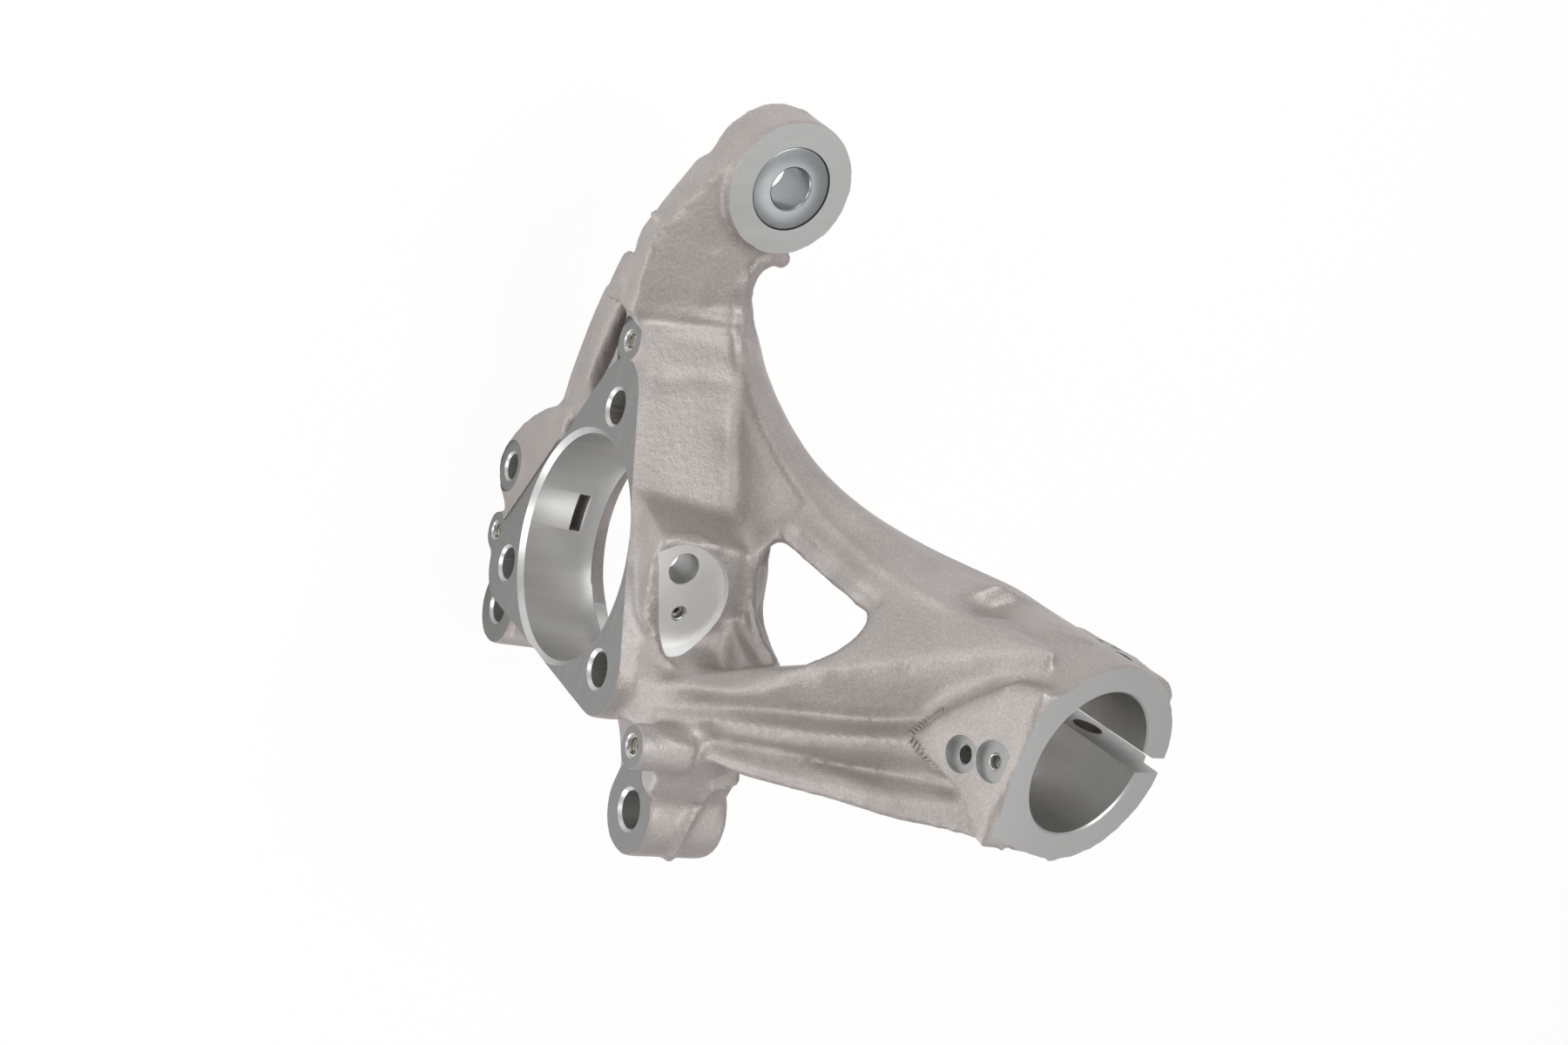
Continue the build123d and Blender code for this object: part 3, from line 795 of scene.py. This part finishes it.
def coil_tree():
    """Wire coils on points: named sizes, a diamond wire section, realised."""
    tree, enter, leave = node_group("wire coil", (
        ("Turns", "Float"), ("Radius", "Float"), ("Length", "Float"), ("Wire", "Float"),
        ("Turn", "Rotation")))
    spiral = tree.nodes.new("GeometryNodeCurveSpiral")
    spiral.inputs["Resolution"].default_value = 24
    section = tree.nodes.new("GeometryNodeCurvePrimitiveCircle")
    section.inputs["Resolution"].default_value = 4
    sweep = tree.nodes.new("GeometryNodeCurveToMesh")
    sweep.inputs["Fill Caps"].default_value = True
    spread = tree.nodes.new("GeometryNodeInstanceOnPoints")
    link = tree.links.new
    link(enter.outputs["Turns"], spiral.inputs["Rotations"])
    link(enter.outputs["Radius"], spiral.inputs["Start Radius"])
    link(enter.outputs["Radius"], spiral.inputs["End Radius"])
    link(enter.outputs["Length"], spiral.inputs["Height"])
    link(enter.outputs["Wire"], section.inputs["Radius"])
    link(spiral.outputs["Curve"], sweep.inputs["Curve"])
    link(section.outputs["Curve"], sweep.inputs["Profile Curve"])
    link(enter.outputs["Geometry"], spread.inputs["Points"])
    link(sweep.outputs["Mesh"], spread.inputs["Instance"])
    link(enter.outputs["Turn"], spread.inputs["Rotation"])
    realised(tree, enter, leave, spread)
    return tree


def ripple_tree():
    """Small ridges across a path, as a grinding wheel leaves them."""
    tree, enter, leave = node_group("grinding ripples", (
        ("Spacing", "Float"), ("Half Length", "Float"), ("Half Width", "Float"),
        ("Facing", "Vector")))
    path = tree.nodes.new("GeometryNodeMeshToCurve")
    spaced = tree.nodes.new("GeometryNodeResampleCurve")
    spaced.mode = "LENGTH"
    bead = tree.nodes.new("GeometryNodeMeshIcoSphere")
    bead.inputs["Radius"].default_value = 1.0
    bead.inputs["Subdivisions"].default_value = 3
    size = tree.nodes.new("ShaderNodeCombineXYZ")
    stand = tree.nodes.new("FunctionNodeAlignRotationToVector")
    stand.axis = "Z"
    along = tree.nodes.new("FunctionNodeAlignRotationToVector")
    along.axis = "X"
    along.pivot_axis = "Z"
    tangent = tree.nodes.new("GeometryNodeInputTangent")
    spread = tree.nodes.new("GeometryNodeInstanceOnPoints")
    link = tree.links.new
    link(enter.outputs["Geometry"], path.inputs["Mesh"])
    link(path.outputs["Curve"], spaced.inputs["Curve"])
    link(enter.outputs["Spacing"], spaced.inputs["Length"])
    link(enter.outputs["Half Width"], size.inputs["X"])
    link(enter.outputs["Half Length"], size.inputs["Y"])
    link(enter.outputs["Half Width"], size.inputs["Z"])
    link(enter.outputs["Facing"], stand.inputs["Vector"])
    link(stand.outputs["Rotation"], along.inputs["Rotation"])
    link(tangent.outputs["Tangent"], along.inputs["Vector"])
    link(spaced.outputs["Curve"], spread.inputs["Points"])
    link(bead.outputs["Mesh"], spread.inputs["Instance"])
    link(along.outputs["Rotation"], spread.inputs["Rotation"])
    link(size.outputs["Vector"], spread.inputs["Scale"])
    realised(tree, enter, leave, spread)
    return tree


COILS = coil_tree()
RIPPLES = ripple_tree()


def coils(name, places, axis, turns, radius, length, wire, finish):
    values = {"Turns": float(turns), "Radius": radius * MM, "Length": length * MM,
              "Wire": wire * MM, "Turn": UP.rotation_difference(axis).to_euler(),
              "Finish": finish}
    return grown(name, [p * MM for p in places], [], COILS, values)


def ripples(name, points, spacing, half_length, half_width):
    kept = [Vector(p) * MM for p, _ in points[::3]]
    edges = [(i, i + 1) for i in range(len(kept) - 1)]
    facing = sum((Vector(n) for _, n in points), Vector()).normalized()
    values = {"Spacing": spacing * MM, "Half Length": half_length * MM,
              "Half Width": half_width * MM, "Facing": tuple(facing), "Finish": CAST}
    return grown(name, kept, edges, RIPPLES, values)


# The flanged bush with small radii at its edges: radius and height, once round its section
BUSH_SECTION = (
    (8.5, 4.4), (15.1, 4.4), (15.4, 4.28), (15.5, 4.0), (15.5, 2.2), (11.0, 2.2), (11.0, -16.1),
    (10.6, -16.5), (8.4, -16.5), (7.9, -16.1), (7.9, 3.8), (8.1, 4.1),
)
BUSH_STEPS = 128


def arm_bush():
    a, b = side_axes(EYE_AXIS)
    verts, faces = [], []
    for r, h in BUSH_SECTION:
        for i in range(BUSH_STEPS):
            t = 2 * math.pi * i / BUSH_STEPS
            verts.append(EYE + EYE_AXIS * h + a * (r * math.cos(t)) + b * (r * math.sin(t)))
    for k in range(len(BUSH_SECTION)):
        this, after = k * BUSH_STEPS, (k + 1) % len(BUSH_SECTION) * BUSH_STEPS
        for i in range(BUSH_STEPS):
            j = (i + 1) % BUSH_STEPS
            faces.append((this + i, this + j, after + j, after + i))
    obj = mesh_object("flanged_bush", verts, faces)
    bm = bmesh.new()
    bm.from_mesh(obj.data)
    bmesh.ops.recalc_face_normals(bm, faces=bm.faces)
    bm.to_mesh(obj.data)
    bm.free()
    return obj


def dressed(obj, materials, chosen=None, angle=32):
    """Gives a piece its materials, smooth shading with sharp edges, and its body."""
    obj.data.materials.clear()
    for mat in materials:
        obj.data.materials.append(mat)
    if chosen is not None:
        obj.data.polygons.foreach_set("material_index", chosen)
    obj.data.shade_smooth()
    obj.data.set_sharp_from_angle(angle=math.radians(angle))
    if chosen is not None:
        bm = bmesh.new()
        bm.from_mesh(obj.data)
        for edge in bm.edges:
            if len({face.material_index for face in edge.link_faces}) > 1:
                edge.smooth = False
        bm.to_mesh(obj.data)
        bm.free()
    obj.data.update()
    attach(obj, "root")


casting = raw_casting()
finish_of = machined(casting, machining())
dressed(casting, (CAST, FACE, BORE, STRUT, SEAT_PAINTED_BRIGHT, ENDS), finish_of)
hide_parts("knuckle")
print("casting triangles", sum(len(p.vertices) - 2 for p in casting.data.polygons))

# Grinding ripples on both sides of the bracket boss, as lines in the photograph's pixels
RIPPLE_LINES = (((1045, 842), (1081, 817)), ((1045, 851), (1077, 885)))
surface = BVHTree.FromObject(casting, bpy.context.evaluated_depsgraph_get())
for number, pixels in enumerate(RIPPLE_LINES):
    marks = ripples(f"grinding_ripples_{number + 1}", strokes_on(surface, pixels),
                    spacing=1.5, half_length=2.9, half_width=0.72)
    dressed(marks, (CAST,), angle=80)

bush = arm_bush()
dressed(bush, (ZINC,))
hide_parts("arm_bush")

inserts = coils("wire_inserts", [xz(p, -9.4) for p in SHIELD_LUGS], OUTBOARD,
                turns=8.6, radius=3.4, length=8.6, wire=0.42, finish=WIRE)
dressed(inserts, (WIRE,), angle=80)
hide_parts("thread_inserts")

threads = coils("sensor_thread", [SENSOR_SCREW - UP * 8.0], UP,
                turns=9, radius=SENSOR_SCREW_R, length=7.4, wire=0.3, finish=BORE)
dressed(threads, (BORE,), angle=80)
bracket_threads = coils("bracket_thread", [xz(BRACKET_SCREW, -81.6)], OUTBOARD,
                        turns=9, radius=2.5, length=7.6, wire=0.3, finish=BORE)
dressed(bracket_threads, (BORE,), angle=80)


# ---------------------------------------------------------------- studio
FLOOR_REACH = 6000
FLOOR_GAP = 0.002
LAMP_SIZE = 0.5

# Soft lamps about the object: name, where they stand from its middle, power
LAMPS = (
    ("front_right", -AHEAD * 0.8 + RIGHT * 0.75, 5.0),
    ("front_left", -AHEAD * 0.8 - RIGHT * 0.75, 2.6),
    ("low_left", DOWN * 0.75 - RIGHT * 0.75 - AHEAD * 0.3, 2.4),
    ("low_right", DOWN * 0.75 + RIGHT * 0.75 - AHEAD * 0.3, 1.2),
    ("top_front", -DOWN * 0.6 - AHEAD * 0.8, 1.3),
)


def pale_floor():
    """A white floor to the camera, that still holds the object's shadow."""
    mat = bpy.data.materials.new("pale_floor")
    mat.use_nodes = True
    tree = mat.node_tree
    tree.nodes.clear()
    out = tree.nodes.new("ShaderNodeOutputMaterial")
    path = tree.nodes.new("ShaderNodeLightPath")
    plain = node(tree, "ShaderNodeBsdfDiffuse", Color=(0.97, 0.97, 0.97, 1))
    white = node(tree, "ShaderNodeEmission", Color=(1, 1, 1, 1), Strength=1.0)
    mix = tree.nodes.new("ShaderNodeMixShader")
    seen = node(tree, "ShaderNodeMath", operation="MAXIMUM")
    tree.links.new(path.outputs["Is Camera Ray"], seen.inputs[0])
    tree.links.new(path.outputs["Is Transmission Ray"], seen.inputs[1])
    share = node(tree, "ShaderNodeMath", operation="MULTIPLY")
    share.inputs[1].default_value = 0.94
    tree.links.new(seen.outputs[0], share.inputs[0])
    tree.links.new(share.outputs[0], mix.inputs["Fac"])
    tree.links.new(plain.outputs[0], mix.inputs[1])
    tree.links.new(white.outputs[0], mix.inputs[2])
    tree.links.new(mix.outputs[0], out.inputs["Surface"])
    return mat


def soft_world():
    """An even light, and white behind the object."""
    world = bpy.data.worlds.new("studio")
    world.use_nodes = True
    tree = world.node_tree
    tree.nodes.clear()
    out = tree.nodes.new("ShaderNodeOutputWorld")
    path = tree.nodes.new("ShaderNodeLightPath")
    soft = node(tree, "ShaderNodeBackground", Color=(1, 1, 1, 1), Strength=0.5)
    back = node(tree, "ShaderNodeBackground", Color=(1, 1, 1, 1), Strength=1.0)
    mix = tree.nodes.new("ShaderNodeMixShader")
    tree.links.new(path.outputs["Is Camera Ray"], mix.inputs["Fac"])
    tree.links.new(soft.outputs[0], mix.inputs[1])
    tree.links.new(back.outputs[0], mix.inputs[2])
    tree.links.new(mix.outputs[0], out.inputs["Surface"])
    return world


def studio():
    scene = bpy.context.scene
    scene.view_settings.view_transform = "Standard"
    corners = [(-FLOOR_REACH, -FLOOR_REACH, 0), (FLOOR_REACH, -FLOOR_REACH, 0),
               (FLOOR_REACH, FLOOR_REACH, 0), (-FLOOR_REACH, FLOOR_REACH, 0)]
    floor = mesh_object("floor", corners, [(0, 1, 2, 3)])
    for v in floor.data.vertices:
        v.co.z = cad_box[0][2] - FLOOR_GAP
    floor.data.materials.append(pale_floor())
    scene.world = soft_world()
    middle = Vector((0.05, -0.06, 0.05))
    for name, offset, power in LAMPS:
        data = bpy.data.lights.new(name, "AREA")
        data.shape = "DISK"
        data.size = LAMP_SIZE
        data.energy = power
        lamp = bpy.data.objects.new(name, data)
        scene.collection.objects.link(lamp)
        lamp.location = middle + offset
        lamp.rotation_euler = (-offset).to_track_quat("-Z", "Y").to_euler()


studio()
